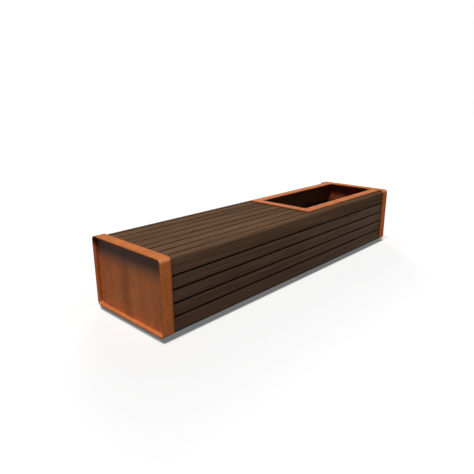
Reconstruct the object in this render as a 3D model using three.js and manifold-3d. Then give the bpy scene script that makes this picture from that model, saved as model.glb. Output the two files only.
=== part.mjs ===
// A street bench with a planter set into one end. Two bent steel hoops with recessed
// end panels close the ends, hardwood boards clad the seat and both long sides, and a
// welded tube frame inside carries the boards, the planter and the rubber feet.
// Millimetres. +X runs from the seat end to the planter end, +Y to the back, +Z up.
// The origin is on the ground, under the middle of the bench.
import * as THREE from "three";
import { mergeVertices } from "three/addons/utils/BufferGeometryUtils.js";
import Module from "manifold-3d";

const wasm = await Module();
wasm.setup();

// Overall size
const benchLength = 2420;
const benchWidth = 625;
const benchHeight = 450;
const groundGap = 20;

// End hoops, bent from flat bar, and their panels
const plate = 8;
const hoopBand = 70;
const hoopRadius = 26;
const panelRecess = 28;
const panelSheet = 5;

// Boards
const seatBoards = 7;
const plainSideBoards = 3;
const boardThickness = 38;
const boardGap = 8.5;
const boardEase = 2.5;
const boardEndGap = 6;
const cornerBoardHeight = 94.4;
const lowestBoardHeight = 84.4;

// Steel tube frame
const tubeSize = 40;
const tubeWall = 3;
const tubeRound = 4;
const railSetback = 20;
const ventHole = 8;

// Planter
const planterLength = 1040;
const rimBar = 65;
const seatLap = 40;
const uprightBar = 6;
const linerSheet = 3;
const linerRound = 6;
const linerPlay = 1;
const drainHole = 20;
const drainHolesInRow = 4;

// Rubber feet and the bolts that hold them
const padDiameter = 50;
const padWaist = 44;
const padBaseLip = 8;
const boltShank = 8;
const boltHead = 16;
const boltHeadHeight = 5;
const boltSink = 7;
const boltGrip = 12;
const boltPlay = 0.4;

// Seats and cuts
const seat = 0.3;
const overrun = 10;

// Facets in each quarter turn of an edge or a bend, and in each full turn of a lathed piece
const easeFacets = 4;
const bendFacets = 12;
const turnedFacets = 24;

// The inside of the hoops
const hoopInnerSide = benchWidth / 2 - plate;
const hoopInnerTop = benchHeight - plate;
const hoopInnerBottom = groundGap + plate;
const hoopInnerRadius = hoopRadius - plate;

// Levels above the ground
const boardTop = hoopInnerTop - seat;
const boardBottom = hoopInnerBottom + seat;
const railBottom = hoopInnerBottom + seat;
const ribBottom = railBottom + tubeSize + seat;
const ribTop = boardTop - boardThickness - seat;
const linerBottom = ribBottom + tubeSize + seat;
const rimUnderside = boardTop + seat;

// Distances from the middle plane to the back
const boardFace = hoopInnerSide - seat;
const boardBack = boardFace - boardThickness;
const postFace = boardBack - seat;
const postInner = postFace - tubeSize;
const railMiddle = postFace - railSetback - tubeSize / 2;
const rimOuterSide = boardBack;
const rimInnerSide = rimOuterSide - rimBar;
const uprightInner = postFace - uprightBar;
const linerOuterSide = uprightInner - linerPlay;

// Stations along the bench
const hoopEdge = benchLength / 2 - hoopBand;
const panelInner = benchLength / 2 - panelRecess - panelSheet;
const boardEnd = panelInner - boardEndGap;
const rimStart = hoopEdge - planterLength;
const rimInnerStart = rimStart + rimBar;
const seatEnd = rimStart + seatLap;
const linerStart = seatEnd + linerPlay;
const linerEnd = panelInner - linerPlay;
const endRib = hoopEdge - railSetback - tubeSize / 2;
const dividerRib = seatEnd - tubeSize / 2;
const seatRib = (dividerRib - endRib) / 2;
const planterRib = (dividerRib + endRib) / 2;

const rust = { color: 0xb4602c, roughness: 0.72, metalness: 0.2 };
const darkRust = { color: 0x8a4a29, roughness: 0.8, metalness: 0.2 };
const timber = { color: 0x4d3b2e, roughness: 0.75, metalness: 0 };
const zinc = { color: 0x9a9d9e, roughness: 0.45, metalness: 0.8 };
const rubber = { color: 0x1c1c1d, roughness: 0.9, metalness: 0 };

// A geometry as a closed solid that can be cut and joined.
function solidOf(geometry) {
  const bare = geometry.clone();
  bare.deleteAttribute("normal");
  bare.deleteAttribute("uv");
  const merged = mergeVertices(bare);
  return new wasm.Manifold(
    new wasm.Mesh({
      numProp: 3,
      vertProperties: merged.attributes.position.array,
      triVerts: new Uint32Array(merged.index.array),
    }),
  );
}

function geometryOf(solid) {
  const { vertProperties, triVerts } = solid.getMesh();
  const geometry = new THREE.BufferGeometry();
  geometry.setAttribute("position", new THREE.BufferAttribute(vertProperties, 3));
  geometry.setIndex(new THREE.BufferAttribute(triVerts, 1));
  geometry.computeVertexNormals();
  return geometry;
}

function addPiece(group, name, geometry, finish) {
  const piece = new THREE.Mesh(geometry, new THREE.MeshStandardMaterial(finish));
  piece.name = name;
  group.add(piece);
  return piece;
}

// A rectangle whose four corners have their own radius, from the lower left, anticlockwise.
function drawRounded(outline, left, bottom, right, top, radii) {
  const [lowLeft, lowRight, highRight, highLeft] = radii;
  const quarter = Math.PI / 2;
  outline.moveTo(left + lowLeft, bottom);
  outline.lineTo(right - lowRight, bottom);
  outline.absarc(right - lowRight, bottom + lowRight, lowRight, -quarter, 0);
  outline.lineTo(right, top - highRight);
  outline.absarc(right - highRight, top - highRight, highRight, 0, quarter);
  outline.lineTo(left + highLeft, top);
  outline.absarc(left + highLeft, top - highLeft, highLeft, quarter, 2 * quarter);
  outline.lineTo(left, bottom + lowLeft);
  outline.absarc(left + lowLeft, bottom + lowLeft, lowLeft, 2 * quarter, 3 * quarter);
  return outline;
}

function roundedShape(left, bottom, right, top, radius) {
  return drawRounded(new THREE.Shape(), left, bottom, right, top, Array(4).fill(radius));
}

function roundedHole(left, bottom, right, top, radius) {
  return drawRounded(new THREE.Path(), left, bottom, right, top, Array(4).fill(radius));
}

function polygon(corners) {
  return new THREE.Shape(corners.map(([x, y]) => new THREE.Vector2(x, y)));
}

// A quarter arc takes two facets for each of its curve segments.
function extrude(shape, depth, facets) {
  return new THREE.ExtrudeGeometry(shape, {
    depth,
    bevelEnabled: false,
    curveSegments: facets / 2,
  });
}

// An extrusion of the given full depth whose long edges are all rounded, as on a rolled tube.
function extrudeRounded(shape, depth, radius) {
  return new THREE.ExtrudeGeometry(shape, {
    depth: depth - 2 * radius,
    bevelEnabled: true,
    bevelThickness: radius,
    bevelSize: radius,
    bevelOffset: -radius,
    bevelSegments: easeFacets,
  }).translate(0, 0, radius);
}

// An upright cylinder that cuts a hole.
function drill(diameter, x, y, z, depth) {
  const radius = diameter / 2;
  const rod = new THREE.CylinderGeometry(radius, radius, depth, turnedFacets);
  rod.rotateX(Math.PI / 2);
  rod.translate(x, y, z);
  return solidOf(rod);
}

const bench = new THREE.Group();

// Sections are drawn as (Y, Z) in this group, and its own z runs along the bench.
const lengthwise = new THREE.Group();
lengthwise.rotation.set(Math.PI / 2, Math.PI / 2, 0);
bench.add(lengthwise);

// The hoop wraps the ends of the boards and stands proud of them all round by its own plate.
function makeHoop(name, start) {
  const half = benchWidth / 2;
  const outline = roundedShape(-half, groundGap, half, benchHeight, hoopRadius);
  outline.holes.push(roundedHole(
    -hoopInnerSide, hoopInnerBottom, hoopInnerSide, hoopInnerTop, hoopInnerRadius));
  const geometry = extrude(outline, hoopBand, bendFacets);
  addPiece(lengthwise, name, geometry, rust).position.z = start;
}

// The end panel fills the hoop, set back from its outer edge.
function makePanel(name, start) {
  const outline = roundedShape(
    seat - hoopInnerSide, hoopInnerBottom + seat,
    hoopInnerSide - seat, hoopInnerTop - seat, hoopInnerRadius - seat);
  const geometry = extrude(outline, panelSheet, bendFacets);
  addPiece(lengthwise, name, geometry, darkRust).position.z = start;
}

function makeEnds() {
  makeHoop("seat_end_hoop", -benchLength / 2);
  makeHoop("planter_end_hoop", hoopEdge);
  makePanel("seat_end_panel", -panelInner - panelSheet);
  makePanel("planter_end_panel", panelInner);
}

// The lower ends of a board are cut back to the bend of the hoop that wraps them.
function trimToHoops(board) {
  const reach = benchWidth;
  const outline = polygon([
    [-reach, -reach], [reach, -reach], [reach, reach], [-reach, reach]]);
  outline.holes.push(roundedHole(
    -boardFace, boardBottom, boardFace, boardTop, hoopInnerRadius - seat));
  const cutter = extrude(outline, hoopBand, bendFacets);
  const start = solidOf(cutter.clone().translate(0, 0, -benchLength / 2 + seat));
  const end = solidOf(cutter.clone().translate(0, 0, hoopEdge - seat));
  return geometryOf(solidOf(board).subtract(start).subtract(end));
}

function addBoard(name, geometry) {
  addPiece(lengthwise, name, geometry, timber);
}

// Seat boards share the width between the two corner boards.
function makeSeatBoards() {
  const width = (2 * boardBack - (seatBoards + 1) * boardGap) / seatBoards;
  for (let i = 0; i < seatBoards; i += 1) {
    const left = -boardBack + boardGap + i * (width + boardGap);
    const right = left + width;
    const shape = roundedShape(left, boardTop - boardThickness, right, boardTop, boardEase);
    const board = extrude(shape, seatEnd + boardEnd, easeFacets);
    addBoard(`seat_board_${i + 1}`, board.translate(0, 0, -boardEnd));
  }
}

// The corner board turns the edge of the seat with the same centre as the hoop's bend.
function makeCornerBoard(name, side) {
  const radii = [boardEase, boardEase, boardEase, boardEase];
  radii[side > 0 ? 2 : 3] = hoopInnerRadius - seat;
  const left = side > 0 ? boardBack : -boardFace;
  const right = left + boardThickness;
  const bottom = boardTop - cornerBoardHeight;
  const shape = drawRounded(new THREE.Shape(), left, bottom, right, boardTop, radii);
  const board = extrude(shape, 2 * boardEnd, bendFacets);
  addBoard(name, board.translate(0, 0, -boardEnd));
}

// Plain boards share the height between the corner board and the taller lowest board.
function makeSideBoards(label, side) {
  const left = side > 0 ? boardBack : -boardFace;
  const right = left + boardThickness;
  const top = boardTop - cornerBoardHeight - boardGap;
  const lowestTop = boardBottom + lowestBoardHeight;
  const pitch = (top - lowestTop) / plainSideBoards;
  for (let i = 0; i < plainSideBoards; i += 1) {
    const upper = top - i * pitch;
    const lower = upper - pitch + boardGap;
    const shape = roundedShape(left, lower, right, upper, boardEase);
    const board = extrude(shape, 2 * boardEnd, easeFacets);
    addBoard(`${label}_board_${i + 1}`, board.translate(0, 0, -boardEnd));
  }
  const shape = roundedShape(left, boardBottom, right, lowestTop, boardEase);
  const board = extrude(shape, 2 * boardEnd, easeFacets).translate(0, 0, -boardEnd);
  addBoard(`${label}_lowest_board`, trimToHoops(board));
}

function makeBoards() {
  makeSeatBoards();
  for (const [label, side] of [["front", -1], ["back", 1]]) {
    makeCornerBoard(`${label}_corner_board`, side);
    makeSideBoards(label, side);
  }
}

// Each rail is an open square tube with a threaded hole over every foot.
function makeRail(name, side) {
  const middle = side * railMiddle;
  const half = tubeSize / 2;
  const outline = roundedShape(
    middle - half, railBottom, middle + half, railBottom + tubeSize, tubeRound);
  const inner = half - tubeWall;
  outline.holes.push(roundedHole(
    middle - inner, railBottom + tubeWall, middle + inner,
    railBottom + tubeSize - tubeWall, tubeRound - tubeWall / 2));
  const length = 2 * (panelInner - seat);
  let rail = solidOf(extrude(outline, length, easeFacets));
  rail = rail.translate([0, 0, -length / 2]);
  const hole = new THREE.CylinderGeometry(
    boltShank / 2 + boltPlay, boltShank / 2 + boltPlay, tubeWall + overrun, turnedFacets);
  const bottomWall = hole.translate(middle, railBottom, 0);
  for (const station of footStations) {
    rail = rail.subtract(solidOf(bottomWall.clone().translate(0, 0, station)));
  }
  addPiece(lengthwise, name, geometryOf(rail), zinc);
}

// A portal is a closed ring of square tube with mitred corners, and carries the seat boards.
// Vent holes inside its corners let zinc in and out of the tube.
function makePortal(name, station) {
  const ring = (outset, depth, radius) => {
    const side = postFace + outset;
    const inner = postInner - outset;
    const low = ribBottom - outset;
    const high = ribTop + outset;
    const shape = polygon([[-side, low], [side, low], [side, high], [-side, high]]);
    const window = polygon([
      [-inner, ribBottom + tubeSize + outset],
      [inner, ribBottom + tubeSize + outset],
      [inner, ribTop - tubeSize - outset],
      [-inner, ribTop - tubeSize - outset],
    ]);
    shape.holes.push(window);
    return solidOf(extrudeRounded(shape, depth, radius).translate(0, 0, -depth / 2));
  };
  const skin = ring(0, tubeSize, tubeRound);
  const hollow = ring(-tubeWall, tubeSize - 2 * tubeWall, tubeRound - tubeWall / 2);
  let portal = skin.subtract(hollow);
  const rod = new THREE.CylinderGeometry(
    ventHole / 2, ventHole / 2, tubeWall + overrun, turnedFacets);
  for (const across of [-1, 1]) {
    for (const level of [ribBottom + tubeSize, ribTop - tubeSize]) {
      const vent = rod.clone().translate(across * (postInner - 2 * ventHole), level, 0);
      portal = portal.subtract(solidOf(vent));
    }
  }
  addPiece(lengthwise, name, geometryOf(portal), zinc).position.z = station;
}

// A cradle is a cross tube closed at both ends by flat bars, which stand up between the
// boards and the planter. Two holes in its underside let zinc in and out of the tube.
function makeCradle(name, station) {
  const barMiddle = postFace - uprightBar / 2;
  const ventSide = railMiddle - tubeSize / 2 - 2 * ventHole;
  const tube = (outset, reach, depth, radius) => {
    const low = ribBottom - outset;
    const high = ribBottom + tubeSize + outset;
    const shape = polygon([[-reach, low], [reach, low], [reach, high], [-reach, high]]);
    return solidOf(extrudeRounded(shape, depth, radius).translate(0, 0, -depth / 2));
  };
  const skin = tube(0, uprightInner + tubeRound, tubeSize, tubeRound);
  const hollow = tube(
    -tubeWall, uprightInner, tubeSize - 2 * tubeWall, tubeRound - tubeWall / 2);
  let cradle = skin.subtract(hollow);
  const height = rimUnderside - seat - ribBottom;
  const bar = new THREE.BoxGeometry(uprightBar, height, tubeSize);
  const rod = new THREE.CylinderGeometry(
    ventHole / 2, ventHole / 2, tubeWall + overrun, turnedFacets);
  for (const across of [-1, 1]) {
    const upright = bar.clone().translate(across * barMiddle, ribBottom + height / 2, 0);
    const vent = rod.clone().translate(across * ventSide, ribBottom, 0);
    cradle = cradle.add(solidOf(upright)).subtract(solidOf(vent));
  }
  addPiece(lengthwise, name, geometryOf(cradle), zinc).position.z = station;
}

function makeFrame() {
  makeRail("front_rail", -1);
  makeRail("back_rail", 1);
  makePortal("seat_end_portal", -endRib);
  makePortal("seat_middle_portal", seatRib);
  makePortal("divider_portal", dividerRib);
  makeCradle("planter_middle_cradle", planterRib);
  makeCradle("planter_end_cradle", endRib);
}

// The rim frames three sides of the opening, and the end hoop closes the fourth.
function makeRim() {
  const end = hoopEdge - seat;
  const shape = polygon([
    [rimStart, -rimOuterSide], [end, -rimOuterSide], [end, -rimInnerSide],
    [rimInnerStart, -rimInnerSide], [rimInnerStart, rimInnerSide], [end, rimInnerSide],
    [end, rimOuterSide], [rimStart, rimOuterSide],
  ]);
  const geometry = extrude(shape, benchHeight - rimUnderside, easeFacets);
  addPiece(bench, "planter_rim", geometry, rust).position.z = rimUnderside;
}

// The liner is a folded box that hangs under the rim, with rows of drain holes in its floor.
function makeLiner() {
  const height = rimUnderside - seat - linerBottom;
  const outside = roundedShape(
    linerStart, -linerOuterSide, linerEnd, linerOuterSide, linerRound);
  const inside = roundedShape(
    linerStart + linerSheet, -linerOuterSide + linerSheet,
    linerEnd - linerSheet, linerOuterSide - linerSheet, linerRound - linerSheet);
  const box = solidOf(extrude(outside, height, easeFacets));
  const hollow = solidOf(extrude(inside, height, easeFacets));
  let liner = box.subtract(hollow.translate([0, 0, linerSheet]));
  const pitch = (linerEnd - linerStart) / drainHolesInRow;
  for (let i = 0; i < drainHolesInRow; i += 1) {
    for (const y of [-linerOuterSide / 2, linerOuterSide / 2]) {
      const x = linerStart + (i + 0.5) * pitch;
      liner = liner.subtract(drill(drainHole, x, y, 0, linerSheet + overrun));
    }
  }
  addPiece(bench, "planter_liner", geometryOf(liner), darkRust).position.z = linerBottom;
}

// A foot is a turned rubber pad with a sunk bolt that threads into the rail above it.
function makeFoot(name, x, y) {
  const height = railBottom - seat;
  const bore = boltShank / 2 + boltPlay;
  const sink = boltHead / 2 + boltPlay;
  const shoulder = boltSink + boltHeadHeight + seat;
  const pad = new THREE.LatheGeometry([
    new THREE.Vector2(sink, 0),
    new THREE.Vector2(padDiameter / 2, 0),
    new THREE.Vector2(padDiameter / 2, padBaseLip),
    new THREE.Vector2(padWaist / 2, height),
    new THREE.Vector2(bore, height),
    new THREE.Vector2(bore, shoulder),
    new THREE.Vector2(sink, shoulder),
    new THREE.Vector2(sink, 0),
  ], turnedFacets);
  const foot = new THREE.Group();
  foot.rotation.x = Math.PI / 2;
  foot.position.set(x, y, 0);
  addPiece(foot, `${name}_pad`, pad, rubber);
  const tip = railBottom + boltGrip;
  const bolt = new THREE.LatheGeometry([
    new THREE.Vector2(0, boltSink),
    new THREE.Vector2(boltHead / 2, boltSink),
    new THREE.Vector2(boltHead / 2, boltSink + boltHeadHeight),
    new THREE.Vector2(boltShank / 2, boltSink + boltHeadHeight),
    new THREE.Vector2(boltShank / 2, tip),
    new THREE.Vector2(0, tip),
  ], turnedFacets);
  addPiece(foot, `${name}_bolt`, bolt, zinc);
  bench.add(foot);
}

const footStations = [-endRib, seatRib, dividerRib, planterRib, endRib];

function makeFeet() {
  footStations.forEach((station, i) => {
    makeFoot(`front_foot_${i + 1}`, station, -railMiddle);
    makeFoot(`back_foot_${i + 1}`, station, railMiddle);
  });
}

makeEnds();
makeBoards();
makeFrame();
makeRim();
makeLiner();
makeFeet();

export default bench;
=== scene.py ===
"""The looks of a street bench with a planter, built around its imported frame.

Lengths are in metres. +X runs from the seat end to the planter end, +Y to the back, +Z up.
"""
import math

import bmesh
import bpy
from bpy.props import FloatProperty, FloatVectorProperty, IntProperty, PointerProperty
from mathutils import Matrix, Vector


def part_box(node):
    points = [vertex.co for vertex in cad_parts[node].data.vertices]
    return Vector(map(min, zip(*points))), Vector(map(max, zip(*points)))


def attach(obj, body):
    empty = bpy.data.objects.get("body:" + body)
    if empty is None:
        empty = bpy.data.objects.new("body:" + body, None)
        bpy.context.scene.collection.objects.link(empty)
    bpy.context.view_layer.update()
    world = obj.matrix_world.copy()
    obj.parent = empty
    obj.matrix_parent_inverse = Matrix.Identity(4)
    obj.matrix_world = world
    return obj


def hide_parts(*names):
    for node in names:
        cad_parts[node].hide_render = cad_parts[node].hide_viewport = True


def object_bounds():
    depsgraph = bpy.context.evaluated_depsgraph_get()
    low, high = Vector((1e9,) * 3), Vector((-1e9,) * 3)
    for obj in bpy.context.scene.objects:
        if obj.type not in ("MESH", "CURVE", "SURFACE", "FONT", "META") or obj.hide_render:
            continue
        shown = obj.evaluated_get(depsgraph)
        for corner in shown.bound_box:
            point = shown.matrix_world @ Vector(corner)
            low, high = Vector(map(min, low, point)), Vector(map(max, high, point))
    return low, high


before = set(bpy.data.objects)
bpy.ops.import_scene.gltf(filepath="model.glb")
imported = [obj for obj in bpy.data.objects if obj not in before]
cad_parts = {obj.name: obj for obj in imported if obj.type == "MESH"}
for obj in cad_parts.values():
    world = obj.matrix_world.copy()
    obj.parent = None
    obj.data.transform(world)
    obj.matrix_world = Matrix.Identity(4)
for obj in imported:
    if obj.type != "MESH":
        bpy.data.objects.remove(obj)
cad_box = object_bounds()

bl_info = {
    "name": "Bench with planter",
    "version": (1, 0, 0),
    "blender": (4, 5, 0),
    "location": "View3D > Sidebar > Bench",
    "description": "Boards, hoops, planter, frame and feet of a street bench",
    "category": "Add Mesh",
}

BODY = "root"
ENDS = ("seat_end", "planter_end")
PORTALS = ("seat_end_portal", "seat_middle_portal", "divider_portal")
CRADLES = ("planter_middle_cradle", "planter_end_cradle")
FEET_A_SIDE = 5
TUBE = 0.040
BOLT_HEAD_DEPTH = 0.005

# The two long sides, and which way each one faces along Y
SIDES = {"front": -1.0, "back": 1.0}

# The corners of a board's end, in the order in which its outline meets them
LOWER_FRONT, LOWER_BACK, UPPER_BACK, UPPER_FRONT = range(4)

# Angles in degrees: the least that is an edge, for each kind of piece, and the most that is flat
SAWN_EDGE_ANGLE = 60.0
PAD_EDGE_ANGLE = 40.0
SHADED_EDGE_ANGLE = 35.0
FLAT_ANGLE = 1.0

BAR_EDGE_FACETS = 3
SAME_POINT = 1e-6

# Seeds and tones that make one board lighter than the next. The back's seed follows the front's.
SEAT_SEED = 2749
FRONT_SEED = 7
CORNER_TONES = {"front": 0.55, "back": 0.35}

# Marks: how far from its edge each one begins, and how far from it the mark is full. Dust is
# counted up from the ground, dirt in from the clad surface and the painted shadow round the bend
# from the corner.
DUST_LINE = (0.110, 0.015)
DIRT_BEGINS = (0.00001, 0.00020)
DIRT_FADES = (0.030, 0.008)
# A painted shadow round the hoops' back top bend, and painted shade along their inner edge
PAINTED_SHADOW_FROM_CORNER = (0.085, 0.020)
PAINTED_SHADOW_ACROSS_BAND = (0.030, 0.050)
PAINTED_SHADE_AT_JOINT = (0.016, 0.002)
# Painted light on the liner's walls where they lie in shade
PAINTED_LIGHT_LONG_WALL = (-0.008, -0.004)
PAINTED_LIGHT_UPPER_WALL = (-0.120, -0.050)
EARTH_LINE = (0.07, 0.01)
# Painted shade under the panels' top band
PAINTED_SHADE_STRIP = (-0.135, -0.015)
# Timber a little darker towards the ground, and painted shade along its lowest edge
DARKER_LOW = (0.085, 0.035)
PAINTED_SHADE_AT_FOOT = (0.018, 0.006)

# How far the earth's line and the painted shade strip's line waver, and how full of earth the liner
# was
EARTH_WAVES = 0.10
PAINTED_SHADE_WAVES = 0.05
EARTH_SHARE = 0.60


def length_property(name, description, default):
    return FloatProperty(
        name=name, description=description, default=default, min=0.0, unit="LENGTH")


def count_property(name, description, default, least=1):
    return IntProperty(name=name, description=description, default=default, min=least)


def colour_property(name, description, default):
    return FloatVectorProperty(
        name=name, description=description, default=default, size=3, min=0.0, max=1.0,
        subtype="COLOR")


class BenchSizes(bpy.types.PropertyGroup):
    plate: length_property("Plate", "Thickness of the hoops' flat bar", 0.008)
    bend: length_property("Bend", "Outer radius of the hoops' bends", 0.026)
    bar_edge: length_property("Bar edge", "Rounding of the steel bar's edges", 0.0009)
    arris: length_property("Arris", "Rounding of the boards' long edges", 0.0022)
    end_arris: length_property("End arris", "Rounding of the boards' sawn ends", 0.0015)
    clearance: length_property("Clearance", "Gap between seated pieces", 0.0003)
    side_boards: count_property("Side boards", "Plain boards on each long side", 3)
    seat_boards: count_property("Seat boards", "Boards across the seat", 7)
    bend_facets: count_property("Bend facets", "Facets in a quarter turn", 16, least=4)
    arris_facets: count_property("Arris facets", "Facets in a rounded edge", 4)
    screw_head: length_property("Screw head", "Diameter of the board screws' heads", 0.012)
    # How far the rust stains reach, which are partly painted shade beside the steel
    stain: length_property("Stain", "How far the steel stains the timber beside it", 0.010)
    bolt_head: length_property("Bolt head", "Distance across a foot bolt's flats", 0.013)
    bolt_shank: length_property("Bolt shank", "Diameter of a foot bolt's shank", 0.008)


class BenchColours(bpy.types.PropertyGroup):
    rust_light: colour_property("Light rust", "Dry rust on raised faces", (0.72, 0.216, 0.062))
    # Dark rust, also laid as painted shade along the hoops' inner edge
    dark_rust_and_painted_shade: colour_property("Dark rust and painted shade", "Rust where water runs and lies", (0.34, 0.098, 0.028))
    # A painted highlight on the hoops' bends
    painted_bend_highlight: colour_property("Painted bend highlight", "Rust rubbed thin on the bends", (0.80, 0.36, 0.17))
    timber_light: colour_property("Light timber", "Early wood", (0.182, 0.098, 0.054))
    timber_dark: colour_property("Dark timber", "Late wood and pores", (0.072, 0.038, 0.022))
    # Rust stains on the timber, partly painted shade beside the steel
    iron_stain_and_painted_shade: colour_property("Iron stain", "Timber that rust has run on", (0.066, 0.025, 0.009))
    # Dirt between the boards, also laid as a painted shadow at the hoops' back top bend and as
    # painted shade along the boards' lowest edge
    joint_dirt_and_painted_shade: colour_property("Joint dirt", "Dirt between the boards", (0.010, 0.0055, 0.0035))
    # Painted shade under the panels' top band
    painted_shade_grey: colour_property("Painted shade under band", "Steel that rain misses", (0.165, 0.125, 0.103))
    soil: colour_property("Soil", "Earth left on the liner", (0.030, 0.022, 0.014))
    # Painted light on the liner's shaded walls
    painted_wall_light: colour_property("Painted wall light", "Earth dried on the liner", (0.26, 0.185, 0.10))
    dust: colour_property("Ground dust", "Dust splashed up from the ground", (0.21, 0.17, 0.13))
    zinc: colour_property("Zinc", "Hot-dip galvanised steel", (0.33, 0.345, 0.36))
    rubber: colour_property("Rubber", "Foot pads", (0.012, 0.012, 0.013))
    # How much dust shows, and how strong the painted highlight on the bends is
    dust_and_highlight: FloatProperty(
        name="Dust and highlight", description="How much dust and water marks show", default=0.5, min=0.0,
        max=1.0, subtype="FACTOR")


def sizes():
    return bpy.context.scene.bench_sizes


def colours():
    return bpy.context.scene.bench_colours


def middle(node):
    low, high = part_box(node)
    return (low + high) / 2


def extent(node):
    low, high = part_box(node)
    return high - low


def hoop_edge():
    """Where the inner edge of the hoop lies on X at the planter end. The seat end mirrors it."""
    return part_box("planter_end_hoop")[0].x


def board_bend():
    """The radius of the boards that lie just inside the hoops' bends."""
    return sizes().bend - sizes().plate - sizes().clearance


# Nodes

FLOAT = "NodeSocketFloat"
INTEGER = "NodeSocketInt"
COLOUR = "NodeSocketColor"
VECTOR = "NodeSocketVector"


class Nodes:
    """Adds nodes to a tree and joins them by socket name, in which _ stands for a space."""

    def __init__(self, tree):
        self.tree = tree

    def add(self, kind, settings=None, **values):
        node = self.tree.nodes.new(kind)
        for name, value in (settings or {}).items():
            setattr(node, name, value)
        return self.feed_all(node, **values)

    def feed_all(self, node, **values):
        for name, value in values.items():
            self.feed(node.inputs[name.replace("_", " ")], value)
        return node

    def feed(self, socket, value):
        if isinstance(value, bpy.types.NodeSocket):
            self.tree.links.new(value, socket)
        elif isinstance(value, bpy.types.Node):
            self.tree.links.new(value.outputs[0], socket)
        else:
            socket.default_value = value

    def own(self, kind):
        """The node of a type that the tree came with."""
        return next(node for node in self.tree.nodes if node.type == kind)

    def declare(self, in_out, sockets):
        for label, kind in sockets:
            self.tree.interface.new_socket(name=label, in_out=in_out, socket_type=kind)

    def math(self, operation, *terms):
        """One operation on its terms. More than two are taken in order, two at a time."""
        while len(terms) > 2:
            terms = (self.math(operation, *terms[:2]), *terms[2:])
        node = self.add("ShaderNodeMath", {"operation": operation})
        for socket, term in zip(node.inputs, terms):
            self.feed(socket, term)
        return node.outputs[0]

    def weighted(self, operation, *pairs):
        """One operation on masks, each times its weight."""
        return self.math(
            operation, *(self.math("MULTIPLY", mask, weight) for mask, weight in pairs))

    def ramp(self, factor, low, high):
        """A mask that rises smoothly from 0 at low to 1 at high."""
        node = self.add(
            "ShaderNodeMapRange", {"interpolation_type": "SMOOTHSTEP"}, Value=factor,
            From_Min=low, From_Max=high)
        return node.outputs["Result"]

    def beside(self, factor, edge, mark):
        """The mask of a mark beside an edge."""
        begins, full = mark
        return self.ramp(factor, edge + begins, edge + full)

    def between(self, factor, low, high):
        """A value from low to high as the factor goes from 0 to 1."""
        return self.add("ShaderNodeMapRange", Value=factor, To_Min=low, To_Max=high)

    def mix(self, factor, first, second):
        node = self.add("ShaderNodeMix", {"data_type": "RGBA"})
        for index, value in ((0, factor), (6, first), (7, second)):
            self.feed(node.inputs[index], value)
        return node.outputs[2]

    def noise(self, vector, scale, detail=4.0, roughness=0.5):
        """Noise over a position. Three numbers as its scale stretch it along an axis."""
        if isinstance(scale, tuple):
            vector = self.add("ShaderNodeMapping", Vector=vector, Scale=scale)
            scale = 1.0
        node = self.add(
            "ShaderNodeTexNoise", Vector=vector, Scale=scale, Detail=detail,
            Roughness=roughness)
        return node.outputs["Fac"]

    def split(self, vector):
        return self.add("ShaderNodeSeparateXYZ", Vector=vector).outputs

    def distance(self, first, second):
        """How far two steps at a right angle to each other lead."""
        steps = self.add("ShaderNodeCombineXYZ", X=first, Y=second)
        node = self.add("ShaderNodeVectorMath", {"operation": "LENGTH"}, Vector=steps)
        return node.outputs["Value"]

    def group(self, name, **values):
        """One of the effects that several finishes share."""
        tree = bpy.data.node_groups[name]
        return self.add("ShaderNodeGroup", {"node_tree": tree}, **values).outputs


class Group(Nodes):
    """A shader node group with named inputs, whose outputs are fed last."""

    def __init__(self, name, inputs, outputs):
        super().__init__(bpy.data.node_groups.new(name, "ShaderNodeTree"))
        self.declare("INPUT", inputs)
        self.declare("OUTPUT", outputs)
        self.given = self.add("NodeGroupInput").outputs

    def give(self, **values):
        self.add("NodeGroupOutput", **values)


class Surface(Nodes):
    """The nodes of a new material, with the position and facing that its patterns follow."""

    def __init__(self, name):
        self.material = bpy.data.materials.new(name)
        self.material.use_nodes = True
        super().__init__(self.material.node_tree)
        coordinates = self.add("ShaderNodeTexCoord").outputs
        self.place = coordinates["Object"]
        self.facing = coordinates["Normal"]

    def finish(self, colour, roughness, height, depth, dust=1.0, **even):
        """Lays dust over the colour and feeds the shader. Even values are alike all over."""
        dusted = self.group(
            "Ground dust", Position=self.place, Color=colour, Amount=dust * colours().dust_and_highlight)
        bump = self.add("ShaderNodeBump", Strength=0.6, Distance=depth, Height=height)
        self.feed_all(
            self.own("BSDF_PRINCIPLED"), Base_Color=dusted[0], Roughness=roughness, Normal=bump,
            **even)
        return self.material


def opaque(colour, tint=(1.0, 1.0, 1.0)):
    """A colour with each part times its share in the tint, and not see-through."""
    return (*(part * share for part, share in zip(colour, tint)), 1.0)


# Effects that several finishes share

COLOUR_ALONE = (("Color", COLOUR),)
COLOUR_AND_RELIEF = (("Color", COLOUR), ("Roughness", FLOAT), ("Height", FLOAT))


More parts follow.
